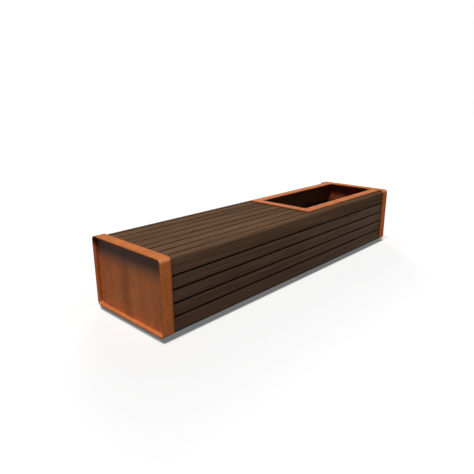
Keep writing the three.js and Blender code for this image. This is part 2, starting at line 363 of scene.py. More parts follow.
def rust_group():
    """Clouds, speckle and water runs of rust, as a colour, a roughness and a height."""
    nodes = Group("Rust", (
        ("Position", VECTOR), ("Light", COLOUR), ("Dark", COLOUR), ("Streaks", FLOAT),
        ("Speckle", FLOAT), ("Bands", FLOAT)), COLOUR_AND_RELIEF)
    given = nodes.given
    place = given["Position"]
    clouds = nodes.ramp(nodes.noise(place, 7.0, 5.0, 0.6), 0.32, 0.72)
    mottle = nodes.ramp(nodes.noise(place, 34.0, 6.0, 0.68), 0.40, 0.64)
    runs = nodes.ramp(nodes.noise(place, (26.0, 26.0, 1.3), 4.0, 0.55), 0.42, 0.68)
    bands = nodes.ramp(nodes.noise(place, (6.5, 6.5, 0.4), 1.0, 0.4), 0.38, 0.62)
    fine = nodes.noise(place, 420.0, 3.0, 0.65)
    specks = nodes.ramp(fine, 0.48, 0.72)
    shade = nodes.weighted(
        "ADD", (clouds, 0.30), (mottle, 0.26), (runs, given["Streaks"]),
        (bands, given["Bands"]), (specks, given["Speckle"]))
    shade = nodes.math("MINIMUM", shade, 1.0)
    nodes.give(
        Color=nodes.mix(shade, given["Light"], given["Dark"]),
        Roughness=nodes.between(fine, 0.62, 0.86), Height=fine)


def grain_group():
    """Grain that runs along X, as a colour, a roughness and a height."""
    nodes = Group("Timber grain", (
        ("Position", VECTOR), ("Tone", FLOAT), ("Light", COLOUR), ("Dark", COLOUR),
        ("Weathering", FLOAT)), COLOUR_AND_RELIEF)
    given = nodes.given
    tone = given["Tone"]

    # Each tone takes its grain from another place, so that boards differ in their figure
    shift = nodes.add(
        "ShaderNodeCombineXYZ", X=nodes.math("MULTIPLY", tone, 37.0),
        Y=nodes.math("MULTIPLY", tone, 5.0))
    place = nodes.add("ShaderNodeVectorMath", {"operation": "ADD"}, Vector=given["Position"])
    nodes.feed(place.inputs[1], shift)
    figure = nodes.ramp(nodes.noise(place, (1.1, 34.0, 34.0), 3.0, 0.55), 0.36, 0.66)
    lines = nodes.noise(place, (3.0, 190.0, 190.0), 4.0, 0.6)
    pores = nodes.ramp(nodes.noise(place, (28.0, 900.0, 900.0), 2.0, 0.5), 0.56, 0.70)
    grained = nodes.weighted(
        "ADD", (figure, 0.42), (nodes.ramp(lines, 0.40, 0.62), 0.40), (pores, 0.22))
    dark = nodes.math("ADD", grained, nodes.between(tone, 0.18, -0.14))
    clamped = nodes.add("ShaderNodeClamp", Value=dark)
    colour = nodes.mix(clamped, given["Light"], given["Dark"])
    grey = nodes.add("ShaderNodeHueSaturation", Saturation=0.35, Value=1.12, Color=colour)
    silver = nodes.ramp(nodes.noise(place, (2.2, 14.0, 14.0), 3.0, 0.6), 0.40, 0.75)
    silver = nodes.math("MULTIPLY", silver, given["Weathering"])
    nodes.give(
        Color=nodes.mix(silver, colour, grey), Roughness=nodes.between(lines, 0.66, 0.86),
        Height=nodes.math("SUBTRACT", nodes.math("MULTIPLY", lines, 0.5), pores))


def joint_group():
    """Dirt on the boards' edges, laid over a colour. It starts just beneath the clad surface,
    which is flat on top, upright at the sides and bent between them."""
    nodes = Group("Joint dirt", (
        ("Position", VECTOR), ("Color", COLOUR), ("Dirt", COLOUR), ("Half Width", FLOAT),
        ("Top", FLOAT), ("Bend", FLOAT), ("Amount", FLOAT)), COLOUR_ALONE)
    given = nodes.given
    where = nodes.split(given["Position"])
    bend = given["Bend"]
    flat = nodes.math("SUBTRACT", given["Half Width"], bend)
    level = nodes.math("SUBTRACT", given["Top"], bend)
    across = nodes.math("SUBTRACT", nodes.math("ABSOLUTE", where["Y"]), flat)
    above = nodes.math("SUBTRACT", where["Z"], level)
    round_bend = nodes.distance(
        nodes.math("MAXIMUM", across, 0.0), nodes.math("MAXIMUM", above, 0.0))
    inside = nodes.math("MINIMUM", nodes.math("MAXIMUM", across, above), 0.0)
    depth = nodes.math("SUBTRACT", bend, nodes.math("ADD", round_bend, inside))
    dirt = nodes.math(
        "MULTIPLY", nodes.ramp(depth, *DIRT_BEGINS), nodes.ramp(depth, *DIRT_FADES),
        given["Amount"])
    nodes.give(Color=nodes.mix(dirt, given["Color"], given["Dirt"]))


def stain_and_shade_group():
    """Dark stains on timber beside the hoops and round the rim, laid over a colour: partly rust
    stains, partly painted shade beside the steel.
    """
    nodes = Group("Iron stain", (
        ("Position", VECTOR), ("Color", COLOUR), ("Stain", COLOUR), ("Width", FLOAT),
        ("Hoop Edge", FLOAT), ("Rim Start", FLOAT), ("Rim Side", FLOAT), ("Top", FLOAT)),
        COLOUR_ALONE)
    given = nodes.given
    where = nodes.split(given["Position"])
    beside_hoop = nodes.math("SUBTRACT", given["Hoop Edge"], nodes.math("ABSOLUTE", where["X"]))
    before_rim = nodes.math("SUBTRACT", given["Rim Start"], where["X"])
    outside_rim = nodes.math("SUBTRACT", nodes.math("ABSOLUTE", where["Y"]), given["Rim Side"])
    beneath = nodes.math("SUBTRACT", given["Top"], where["Z"])
    beside_rim = nodes.math(
        "ADD", nodes.math("MAXIMUM", before_rim, outside_rim),
        nodes.math("MULTIPLY", beneath, 0.5))
    away = nodes.math("MINIMUM", beside_hoop, beside_rim)
    ragged = nodes.noise(given["Position"], (14.0, 60.0, 60.0), 4.0, 0.6)
    reach = nodes.math("MULTIPLY", given["Width"], nodes.math("ADD", ragged, 0.5))
    share = nodes.math("DIVIDE", away, reach)
    stained_and_shaded = nodes.math("MULTIPLY", nodes.ramp(share, 1.3, 0.5), 0.8)
    nodes.give(Color=nodes.mix(stained_and_shaded, given["Color"], given["Stain"]))


def dust_group():
    """Dust and splashed dirt near the ground, laid over a colour."""
    nodes = Group("Ground dust", (
        ("Position", VECTOR), ("Color", COLOUR), ("Amount", FLOAT)), COLOUR_ALONE)
    given = nodes.given
    low = nodes.ramp(nodes.split(given["Position"])["Z"], *DUST_LINE)
    cloud = nodes.ramp(nodes.noise(given["Position"], 38.0, 5.0, 0.6), 0.40, 0.72)
    amount = nodes.math("MULTIPLY", low, cloud, given["Amount"], 0.45)
    nodes.give(Color=nodes.mix(amount, given["Color"], opaque(colours().dust)))


# Marks on one finish

def painted_shade_and_highlight(surface, colour):
    """Painted shade: rust darker along the bar's inner edge, beside the boards. A painted shadow:
    much darker on its outer part round the top bend at the back, but not on top. A painted
    highlight: lighter where the bar bends, which is where it faces neither way squarely."""
    where = surface.split(surface.place)
    facing = surface.split(surface.facing)
    along = surface.math("ABSOLUTE", where["X"])
    # Painted shade along the bar's inner edge, beside the boards
    darker_and_painted_shade = surface.math("MULTIPLY", surface.beside(along, hoop_edge(), PAINTED_SHADE_AT_JOINT), 0.55)
    colour = surface.mix(darker_and_painted_shade, colour, opaque(colours().dark_rust_and_painted_shade))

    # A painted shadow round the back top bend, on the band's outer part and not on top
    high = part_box("planter_end_hoop")[1]
    from_corner = surface.distance(
        surface.math("SUBTRACT", high.y, where["Y"]),
        surface.math("SUBTRACT", high.z, where["Z"]))
    dark = surface.math(
        "MULTIPLY", surface.ramp(from_corner, *PAINTED_SHADOW_FROM_CORNER),
        surface.beside(along, hoop_edge(), PAINTED_SHADOW_ACROSS_BAND), 0.90,
        surface.ramp(facing["Z"], 0.60, 0.20))
    colour = surface.mix(dark, colour, opaque(colours().joint_dirt_and_painted_shade))

    # A painted highlight where the bar bends
    least = surface.math(
        "MINIMUM", surface.math("ABSOLUTE", facing["Y"]), surface.math("ABSOLUTE", facing["Z"]))
    patchy = surface.ramp(surface.noise(surface.place, 60.0, 4.0, 0.6), 0.30, 0.60)
    highlight = surface.math("MULTIPLY", surface.ramp(least, 0.20, 0.62), patchy, colours().dust_and_highlight)
    return surface.mix(highlight, colour, opaque(colours().painted_bend_highlight))


def soil_and_painted_light(surface, colour):
    """Soil on the liner's walls lower down, and painted light: paler colour on the long walls and
    high up, where the walls lie in shade.
    """
    where = surface.split(surface.place)
    low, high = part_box("planter_liner")
    waves = surface.noise(surface.place, (9.0, 9.0, 3.0), 5.0, 0.6)
    line = surface.math("ADD", where["Z"], surface.math("MULTIPLY", waves, EARTH_WAVES))
    filled = low.z + EARTH_SHARE * (high.z - low.z)
    earth = surface.math("MULTIPLY", surface.beside(line, filled, EARTH_LINE), 0.92)
    across = surface.math("ABSOLUTE", where["Y"])
    # Painted light: paler walls where they lie in shade
    painted_light = surface.weighted(
        "MAXIMUM", (surface.beside(across, high.y, PAINTED_LIGHT_LONG_WALL), 0.90),
        (surface.beside(where["Z"], high.z, PAINTED_LIGHT_UPPER_WALL), 0.30))
    colour = surface.mix(painted_light, colour, opaque(colours().painted_wall_light))
    return surface.mix(earth, colour, opaque(colours().soil))


def painted_shade_under_band(surface, colour):
    """Painted shade: a greyer, darker strip under the band."""
    waves = surface.noise(surface.place, (30.0, 30.0, 4.0), 4.0, 0.6)
    height = surface.split(surface.place)["Z"]
    line = surface.math("ADD", height, surface.math("MULTIPLY", waves, PAINTED_SHADE_WAVES))
    painted_shade = surface.beside(line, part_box("seat_end_panel")[1].z, PAINTED_SHADE_STRIP)
    return surface.mix(
        surface.math("MULTIPLY", painted_shade, 0.85), colour, opaque(colours().painted_shade_grey))


def darker_foot_with_painted_shade(surface, colour):
    """Timber a little darker towards the ground, and painted shade along its lower edge."""
    height = surface.split(surface.place)["Z"]
    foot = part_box("front_lowest_board")[0].z
    darker_and_painted_shade = surface.weighted(
        "MAXIMUM", (surface.beside(height, foot, DARKER_LOW), 0.16),
        (surface.beside(height, foot, PAINTED_SHADE_AT_FOOT), 0.75))
    return surface.mix(darker_and_painted_shade, colour, opaque(colours().joint_dirt_and_painted_shade))


# Finishes

def rusted(name, tint, streaks, speckle, bands, gloss, marks=None):
    """Weathered steel. Marks are laid over the rust's colour."""
    surface = Surface(name)
    rust = surface.group(
        "Rust", Position=surface.place, Light=opaque(colours().rust_light, tint),
        Dark=opaque(colours().dark_rust_and_painted_shade, tint), Streaks=streaks, Speckle=speckle, Bands=bands)
    colour = marks(surface, rust["Color"]) if marks else rust["Color"]
    return surface.finish(
        colour, rust["Roughness"], rust["Height"], 0.0004, Specular_IOR_Level=gloss)


def timber(name, tint, weathering, dirt, gloss):
    """Dark hardwood, with rust stains beside the steel that are partly painted shade, dirt in its
    joints, and painted shade along its lowest edge.
    """
    surface = Surface(name)
    tone = surface.add("ShaderNodeAttribute", {"attribute_name": "board_tone"})
    grain = surface.group(
        "Timber grain", Position=surface.place, Tone=tone.outputs["Fac"],
        Light=opaque(colours().timber_light, tint), Dark=opaque(colours().timber_dark, tint),
        Weathering=weathering)
    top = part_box("front_corner_board")[1].z
    rim_low, rim_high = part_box("planter_rim")
    stained_and_shaded = surface.group(
        "Iron stain", Position=surface.place, Color=grain["Color"],
        Stain=opaque(colours().iron_stain_and_painted_shade), Width=sizes().stain, Hoop_Edge=hoop_edge(),
        Rim_Start=rim_low.x, Rim_Side=rim_high.y, Top=top)
    joined = surface.group(
        "Joint dirt", Position=surface.place, Color=stained_and_shaded["Color"],
        Dirt=opaque(colours().joint_dirt_and_painted_shade), Half_Width=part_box("back_corner_board")[1].y,
        Top=top, Bend=board_bend(), Amount=dirt)
    return surface.finish(
        darker_foot_with_painted_shade(surface, joined["Color"]), grain["Roughness"], grain["Height"], 0.0005,
        dust=0.3, Specular_IOR_Level=gloss)


def galvanised(name, spangle):
    """Steel with the crystals of its zinc. Spangle is how many there are to a metre."""
    surface = Surface(name)
    cells = surface.add("ShaderNodeTexVoronoi", Scale=spangle, Vector=surface.place)
    chance = surface.add("ShaderNodeSeparateColor", Color=cells.outputs["Color"]).outputs
    dull = opaque(colours().zinc, (0.62, 0.62, 0.62))
    return surface.finish(
        surface.mix(chance[0], opaque(colours().zinc), dull),
        surface.between(chance[1], 0.54, 0.72), surface.noise(surface.place, 160.0), 0.0002,
        Metallic=0.7)


def weathered_rubber(name):
    """Black rubber with a paler bloom."""
    surface = Surface(name)
    bloom = surface.ramp(surface.noise(surface.place, 90.0, 5.0, 0.6), 0.40, 0.75)
    paler = opaque(colours().rubber, (3.0, 3.0, 3.0))
    return surface.finish(
        surface.mix(bloom, opaque(colours().rubber), paler),
        surface.between(bloom, 0.75, 0.92), surface.noise(surface.place, 700.0), 0.0002)


FINISHES = {
    "Hoop steel": (rusted, dict(
        tint=(1.0, 1.0, 1.0), streaks=0.10, speckle=0.20, bands=0.0, gloss=0.02,
        marks=painted_shade_and_highlight)),
    "Panel steel": (rusted, dict(
        tint=(1.14, 1.15, 1.26), streaks=0.22, speckle=0.16, bands=0.38, gloss=0.30,
        marks=painted_shade_under_band)),
    "Rim steel": (rusted, dict(
        tint=(0.93, 1.0, 1.22), streaks=0.06, speckle=0.20, bands=0.0, gloss=0.05)),
    "Liner steel": (rusted, dict(
        tint=(0.80, 0.57, 0.46), streaks=0.30, speckle=0.25, bands=0.20, gloss=0.10,
        marks=soil_and_painted_light)),
    "Upper timber": (timber, dict(
        tint=(1.01, 1.07, 1.09), weathering=0.04, dirt=0.34, gloss=0.0)),
    # The side boards are the same wood as the upper ones, made darker as painted shade
    "Side timber": (timber, dict(
        tint=(0.67, 0.69, 0.71), weathering=0.06, dirt=0.97, gloss=0.10)),
    "Galvanised steel": (galvanised, dict(spangle=75.0)),
    "Zinc plate": (galvanised, dict(spangle=900.0)),
    "Pad rubber": (weathered_rubber, {}),
}


def material(name):
    """The named material, made when it is first asked for."""
    if not bpy.data.node_groups.get("Rust"):
        for make_group in (rust_group, grain_group, joint_group, stain_and_shade_group, dust_group):
            make_group()
    make, look = FINISHES[name]
    return bpy.data.materials.get(name) or make(name, **look)


# Shapes that follow a rule

class Shape(Nodes):
    """A geometry nodes tree with named inputs, which ends in real meshes of one material."""

    def __init__(self, name, inputs):
        super().__init__(bpy.data.node_groups.new(name, "GeometryNodeTree"))
        self.declare("OUTPUT", (("Geometry", "NodeSocketGeometry"),))
        self.declare("INPUT", (*inputs, ("Material", "NodeSocketMaterial")))
        self.given = self.add("NodeGroupInput").outputs

    def section(self, width, height, radius, facets):
        """A rectangle with rounded corners, drawn in X and Y."""
        bar = self.add("GeometryNodeCurvePrimitiveQuadrilateral", Width=width, Height=height)
        return self.add(
            "GeometryNodeFilletCurve", {"mode": "POLY"}, Curve=bar, Radius=radius, Count=facets)

    def sweep(self, path, section, caps):
        return self.add(
            "GeometryNodeCurveToMesh", Curve=path, Profile_Curve=section, Fill_Caps=caps)

    def end(self, geometry):
        real = self.add("GeometryNodeRealizeInstances", Geometry=geometry)
        finish = self.add(
            "GeometryNodeSetMaterial", Geometry=real, Material=self.given["Material"])
        self.add("NodeGroupOutput", Geometry=finish)
        return self.tree


def hoop_tree(name):
    """A flat bar swept round a rounded rectangle, which stands across X."""
    tree = Shape(name, (
        ("Width", FLOAT), ("Height", FLOAT), ("Bend", FLOAT), ("Band", FLOAT),
        ("Plate", FLOAT), ("Edge", FLOAT), ("Bend Facets", INTEGER), ("Middle", VECTOR)))
    given = tree.given
    half_plate = tree.math("DIVIDE", given["Plate"], 2.0)
    path = tree.section(
        tree.math("SUBTRACT", given["Width"], given["Plate"]),
        tree.math("SUBTRACT", given["Height"], given["Plate"]),
        tree.math("SUBTRACT", given["Bend"], half_plate), given["Bend Facets"])
    bar = tree.section(given["Plate"], given["Band"], given["Edge"], BAR_EDGE_FACETS)
    upright = tree.add(
        "GeometryNodeTransform", Geometry=tree.sweep(path, bar, False),
        Translation=given["Middle"], Rotation=(math.pi / 2, 0.0, math.pi / 2))
    return tree.end(upright)


def board_row_tree(name):
    """Boards along X, side by side from a first one, each with a tone of its own."""
    tree = Shape(name, (
        ("Boards", INTEGER), ("First", VECTOR), ("Step", VECTOR), ("Length", FLOAT),
        ("Across", FLOAT), ("Depth", FLOAT), ("Arris", FLOAT), ("Arris Facets", INTEGER),
        ("Seed", INTEGER)))
    given = tree.given
    half = tree.math("DIVIDE", given["Length"], 2.0)
    low = tree.add("ShaderNodeCombineXYZ", X=tree.math("MULTIPLY", half, -1.0))
    high = tree.add("ShaderNodeCombineXYZ", X=half)
    line = tree.add("GeometryNodeCurvePrimitiveLine", Start=low, End=high)
    section = tree.section(
        given["Across"], given["Depth"], given["Arris"], given["Arris Facets"])
    row = tree.add(
        "GeometryNodeMeshLine", {"mode": "OFFSET"}, Count=given["Boards"],
        Start_Location=given["First"], Offset=given["Step"])
    boards = tree.add(
        "GeometryNodeInstanceOnPoints", Points=row, Instance=tree.sweep(line, section, True))
    tone = tree.add("FunctionNodeRandomValue", {"data_type": "FLOAT"}, Seed=given["Seed"])
    marked = tree.add(
        "GeometryNodeStoreNamedAttribute", {"data_type": "FLOAT", "domain": "INSTANCE"},
        Geometry=boards, Name="board_tone", Value=tone.outputs[1])
    return tree.end(marked)


def spread_tree(name):
    """One shape set on every point of a mesh, turned to the facing that the point holds."""
    tree = Shape(name, (("Points", "NodeSocketObject"), ("Shape", "NodeSocketObject")))
    points, shape = (
        tree.add("GeometryNodeObjectInfo", Object=tree.given[label]).outputs["Geometry"]
        for label in ("Points", "Shape"))
    facing = tree.add(
        "GeometryNodeInputNamedAttribute", {"data_type": "FLOAT_VECTOR"}, Name="facing")
    turn = tree.add(
        "FunctionNodeAlignRotationToVector", {"axis": "Z"}, Vector=facing.outputs["Attribute"])
    return tree.end(tree.add(
        "GeometryNodeInstanceOnPoints", Points=points, Instance=shape, Rotation=turn))


SHAPES = {
    "Bent hoop": hoop_tree, "Board row": board_row_tree, "Spread over points": spread_tree}


def linked(name, data):
    """A new object in the scene that holds the given data."""
    thing = bpy.data.objects.new(name, data)
    bpy.context.scene.collection.objects.link(thing)
    return thing


def evaluated(piece):
    """The mesh that a piece's modifiers make."""
    return bpy.data.meshes.new_from_object(
        piece.evaluated_get(bpy.context.evaluated_depsgraph_get()))


def grown(name, shape, finish, values):
    """A plain mesh piece that one of the shapes makes from the given inputs."""
    tree = bpy.data.node_groups.get(shape) or SHAPES[shape](shape)
    grower = linked(name + "_grower", bpy.data.meshes.new(name + "_empty"))
    modifier = grower.modifiers.new("Shape", "NODES")
    modifier.node_group = tree
    for socket in tree.interface.items_tree:
        if socket.item_type == "SOCKET" and socket.in_out == "INPUT":
            value = material(finish) if socket.name == "Material" else values[socket.name]
            modifier[socket.identifier] = value
    mesh = evaluated(grower)
    bpy.data.objects.remove(grower)
    mesh.name = name
    return linked(name, mesh)


def spread(name, shape, finish, places, facings):
    """Copies of a shape on the given places as one plain mesh. The shape itself is removed."""
    mesh = bpy.data.meshes.new(name + "_places")
    mesh.from_pydata(places, [], [])
    facing = mesh.attributes.new("facing", "FLOAT_VECTOR", "POINT")
    facing.data.foreach_set("vector", [part for vector in facings for part in vector])
    points = linked(name + "_places", mesh)
    result = grown(name, "Spread over points", finish, {"Points": points, "Shape": shape})
    for helper in (points, shape):
        bpy.data.objects.remove(helper)
    return result


# Meshes

def arc(centre, radius, start, facets):
    """A quarter turn of points from the start angle, anticlockwise."""
    return [
        (centre[0] + radius * math.cos(start + i * math.pi / 2 / facets),
         centre[1] + radius * math.sin(start + i * math.pi / 2 / facets))
        for i in range(facets + 1)]


def rounded_outline(low, high, radii):
    """Points round a rectangle in Y and Z, from its lower front corner, each corner with its
    radius."""
    inward = ((1, 1), (-1, 1), (-1, -1), (1, -1))
    corners = ((low[0], low[1]), (high[0], low[1]), (high[0], high[1]), (low[0], high[1]))
    points = []
    for i, (corner, turn, radius) in enumerate(zip(corners, inward, radii)):
        centre = (corner[0] + turn[0] * radius, corner[1] + turn[1] * radius)
        points += arc(centre, radius, math.pi + i * math.pi / 2, sizes().bend_facets)
    return points


def board_outline(node, bent=None):
    """Points round a board's end, with an arris at each corner but the one that is bent."""
    low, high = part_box(node)
    radii = [sizes().arris] * 4
    if bent is not None:
        radii[bent] = board_bend()
    return rounded_outline((low.y, low.z), (high.y, high.z), radii)


def piece_from(name, shape):
    mesh = bpy.data.meshes.new(name)
    shape.to_mesh(mesh)
    shape.free()
    return linked(name, mesh)


def lofted(name, sections):
    """A closed skin through sections, each a place on X and its points in Y and Z."""
    shape = bmesh.new()
    rings = [[shape.verts.new((x, y, z)) for y, z in points] for x, points in sections]
    for near, far in zip(rings, rings[1:]):
        count = len(near)
        for i in range(count):
            j = (i + 1) % count
            shape.faces.new((near[i], near[j], far[j], far[i]))
    shape.faces.new(list(reversed(rings[0])))
    shape.faces.new(rings[-1])
    bmesh.ops.recalc_face_normals(shape, faces=shape.faces)
    return piece_from(name, shape)


def stacked(name, rounds):
    """Short cylinders one on another along Z, each with its corners, radii and height."""
    shape = bmesh.new()
    level = 0.0
    for corners, lower, upper, height in rounds:
        bmesh.ops.create_cone(
            shape, cap_ends=True, segments=corners, radius1=lower, radius2=upper,
            depth=height, matrix=Matrix.Translation((0.0, 0.0, level + height / 2)))
        level += height
    bmesh.ops.recalc_face_normals(shape, faces=shape.faces)
    return piece_from(name, shape)


def hexagon_bolt(flats, depth, shank, length):
    """A bolt that points up, with a hexagon head of the given width across its flats."""
    corner = flats / math.sqrt(3)
    return stacked("bolt_shape", [
        (6, 0.9 * corner, corner, 0.2 * depth), (6, corner, corner, 0.8 * depth),
        (24, shank / 2, shank / 2, length - depth)])


def screw_head(width):
    """A pan head that stands on the steel, with a washer under it."""
    return stacked("screw_shape", [
        (16, 0.70 * width, 0.70 * width, 0.10 * width),
        (16, 0.50 * width, 0.44 * width, 0.20 * width),
        (16, 0.44 * width, 0.25 * width, 0.10 * width)])


def merged_copy(name, node):
    """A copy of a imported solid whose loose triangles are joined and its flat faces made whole."""
    shape = bmesh.new()
    shape.from_mesh(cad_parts[node].data)
    bmesh.ops.remove_doubles(shape, verts=shape.verts, dist=SAME_POINT)
    bmesh.ops.dissolve_limit(
        shape, angle_limit=math.radians(FLAT_ANGLE), verts=shape.verts, edges=shape.edges)
    return piece_from(name, shape)


def bevelled(piece, width, segments=2, angle=SAWN_EDGE_ANGLE):
    """Rounds the edges that are sharper than the angle."""
    modifier = piece.modifiers.new("Edges", "BEVEL")
    modifier.width = width
    modifier.segments = segments
    modifier.limit_method = "ANGLE"
    modifier.angle_limit = math.radians(angle)
    mesh = evaluated(piece)
    piece.modifiers.clear()
    piece.data = mesh
    mesh.name = piece.name


def tone_board(piece, tone):
    values = piece.data.attributes.new("board_tone", "FLOAT", "POINT")
    values.data.foreach_set("value", [tone] * len(piece.data.vertices))


def dressed(piece, finish, nodes=()):
    """Gives a finished piece its material and its body, and hides the imported nodes that it stands
    for.
    """
    if not piece.data.materials:
        piece.data.materials.append(material(finish))
    for face in piece.data.polygons:
        face.use_smooth = True
    piece.data.set_sharp_from_angle(angle=math.radians(SHADED_EDGE_ANGLE))
    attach(piece, BODY)
    if nodes:
        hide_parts(*nodes)


# Operators

class BENCH_OT_hoops(bpy.types.Operator):
    """Sweeps the flat bar of both end hoops round its four bends"""
    bl_idname = "bench.hoops"
    bl_label = "End hoops"

    def execute(self, context):
        for end in ENDS:
            node = end + "_hoop"
            size = extent(node)
            hoop = grown(node + "_bar", "Bent hoop", "Hoop steel", {
                "Width": size.y, "Height": size.z, "Bend": sizes().bend, "Band": size.x,
                "Plate": sizes().plate, "Edge": sizes().bar_edge,
                "Bend Facets": sizes().bend_facets, "Middle": middle(node)})
            dressed(hoop, "Hoop steel", [node])
        return {"FINISHED"}


class BENCH_OT_panels(bpy.types.Operator):
    """Makes the sheets that close the hoops, set back from their outer edges"""
    bl_idname = "bench.panels"
    bl_label = "End panels"

    def execute(self, context):
        gap = sizes().clearance
        radius = sizes().bend - sizes().plate
        for end in ENDS:
            node = end + "_panel"
            low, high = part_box(node)
            outline = rounded_outline(
                (low.y - gap, low.z - gap), (high.y + gap, high.z + gap), [radius] * 4)
            panel = lofted(node + "_sheet", [(low.x, outline), (high.x, outline)])
            dressed(panel, "Panel steel", [node])
        return {"FINISHED"}


class BENCH_OT_plain_boards(bpy.types.Operator):
    """Lays the plain boards of the seat and of both long sides"""
    bl_idname = "bench.plain_boards"
    bl_label = "Plain boards"

    def row(self, name, nodes, seed, finish, slot):
        size = extent(nodes[0])
        first = middle(nodes[0])
        step = (middle(nodes[-1]) - first) / (len(nodes) - 1)
        boards = grown(name, "Board row", finish, {
            "Boards": len(nodes), "First": first, "Step": step, "Length": size.x,
            "Across": size.y, "Depth": size.z, "Arris": sizes().arris,
            "Arris Facets": sizes().arris_facets, "Seed": seed})
        bevelled(boards, sizes().end_arris)
        dressed(boards, finish, nodes)

    def execute(self, context):
        seat = [f"seat_board_{i + 1}" for i in range(sizes().seat_boards)]
        self.row("seat_boards", seat, SEAT_SEED, "Upper timber", "seat_timber")
        for seed, side in enumerate(SIDES, start=FRONT_SEED):
            nodes = [f"{side}_board_{i + 1}" for i in range(sizes().side_boards)]
            self.row(side + "_boards", nodes, seed, "Side timber", "side_timber")
        return {"FINISHED"}


class BENCH_OT_shaped_boards(bpy.types.Operator):
    """Makes the rounded corner boards, and the lowest boards with their trimmed ends"""
    bl_idname = "bench.shaped_boards"
    bl_label = "Corner and lowest boards"

    def corner_board(self, side, bent, tone):
        node = side + "_corner_board"
        low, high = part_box(node)
        outline = board_outline(node, bent)
        board = lofted(node + "_timber", [(low.x, outline), (high.x, outline)])
        tone_board(board, tone)
        bevelled(board, sizes().end_arris)
        dressed(board, "Upper timber", [node])

    def lowest_board(self, side, bent, tone):
        node = side + "_lowest_board"
        low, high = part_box(node)
        full, cut = board_outline(node), board_outline(node, bent)
        hoop = hoop_edge() - sizes().clearance
        board = lofted(node + "_timber", [
            (low.x, cut), (-hoop, cut), (-hoop, full), (hoop, full), (hoop, cut),
            (high.x, cut)])
        tone_board(board, tone)
        dressed(board, "Side timber", [node])

    def execute(self, context):
        for side, upper, lower in (
                ("front", UPPER_FRONT, LOWER_FRONT), ("back", UPPER_BACK, LOWER_BACK)):
            tone = CORNER_TONES[side]
            self.corner_board(side, upper, tone)
            self.lowest_board(side, lower, 1 - tone)
        return {"FINISHED"}


class BENCH_OT_planter(bpy.types.Operator):
    """Makes the raised rim and the liner of the planter"""
    bl_idname = "bench.planter"
    bl_label = "Planter"

    def execute(self, context):
        rim = merged_copy("planter_rim_plate", "planter_rim")
        bevelled(rim, sizes().bar_edge, BAR_EDGE_FACETS)
        dressed(rim, "Rim steel", ["planter_rim"])
        liner = merged_copy("planter_liner_box", "planter_liner")
        dressed(liner, "Liner steel", ["planter_liner"])
        return {"FINISHED"}


class BENCH_OT_tubes(bpy.types.Operator):
    """Finishes the rails, portals and cradles of the frame"""
    bl_idname = "bench.tubes"
    bl_label = "Tube frame"

    def execute(self, context):
        for node in ("front_rail", "back_rail", *PORTALS, *CRADLES):
            tube = merged_copy(node + "_tube", node)
            dressed(tube, "Galvanised steel", [node])
        return {"FINISHED"}


class BENCH_OT_screws(bpy.types.Operator):
    """Spreads the screws that hold the boards to the portals from inside"""
    bl_idname = "bench.screws"
    bl_label = "Board screws"

    def execute(self, context):
        places, facings = [], []
        for node in PORTALS:
            low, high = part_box(node)
            along = (low.x + high.x) / 2
            inner = high.y - TUBE
            for i in range(sizes().seat_boards):
                across = middle(f"seat_board_{i + 1}").y
                if abs(across) < inner - sizes().screw_head:
                    places.append((along, across, high.z - TUBE))
                    facings.append((0.0, 0.0, -1.0))
            for side, facing in SIDES.items():
                for i in range(sizes().side_boards):
                    level = middle(f"{side}_board_{i + 1}").z
                    if level < high.z - TUBE:
                        places.append((along, facing * inner, level))
                        facings.append((0.0, -facing, 0.0))
        head = screw_head(sizes().screw_head)
        screws = spread("board_screws", head, "Zinc plate", places, facings)
        dressed(screws, "Zinc plate")
        return {"FINISHED"}


class BENCH_OT_feet(bpy.types.Operator):
    """Makes the rubber pads and spreads their hexagon bolts under the rails"""
    bl_idname = "bench.feet"
    bl_label = "Feet"

    def execute(self, context):
        feet = [f"{side}_foot_{i + 1}" for side in SIDES for i in range(FEET_A_SIDE)]
        for foot in feet:
            pad = merged_copy(foot + "_pad_rubber", foot + "_pad")
            bevelled(pad, sizes().end_arris, angle=PAD_EDGE_ANGLE)
            dressed(pad, "Pad rubber", [foot + "_pad"])
        low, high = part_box(feet[0] + "_bolt")
        bolt = hexagon_bolt(
            sizes().bolt_head, BOLT_HEAD_DEPTH, sizes().bolt_shank, high.z - low.z)
        places = [(*middle(foot + "_bolt").xy, low.z) for foot in feet]
        facings = [(0.0, 0.0, 1.0)] * len(places)
        bolts = spread("foot_bolts", bolt, "Zinc plate", places, facings)
        dressed(bolts, "Zinc plate", [foot + "_bolt" for foot in feet])
        return {"FINISHED"}


# Stage

FLOOR_HALF = 30.0

# Greys near the bench, darker there as painted shade, and far from it, and greys for light that
# isn't seen directly
FLOOR_NEAR_PAINTED_SHADE = 0.895
FLOOR_FAR = 0.97
FLOOR_UNSEEN = 0.04
SKY_UNSEEN = 0.02

# A painted shadow, black under the bench: how far it lies inside the bench's box, how far it is
# moved towards the seat end and the front, and how far out it fades
PAINTED_SHADOW_INSET = {"X": 0.010, "Y": 0.020}
PAINTED_SHADOW_SHIFT = {"X": 0.0, "Y": 0.012}
PAINTED_SHADOW_REACH = 0.022

# How far the painted shade near the bench reaches, and where and by how much the glow grows
PAINTED_SHADE_REACH = 0.8
GLOW_REACH = (1.5, 6.0)
GLOW_NEAR = 0.165
GLOW_MORE_FAR = 0.09

# Each lamp's name, azimuth from +X towards +Y, elevation, strength, and angle across. The
# angles are in degrees.
LAMPS = (
    ("Key", 205.0, 73.0, 2.65, 20.0),
    ("Front fill", 269.0, 1.5, 0.67, 2.0),
    ("Back fill", 50.0, 20.0, 0.72, 25.0))

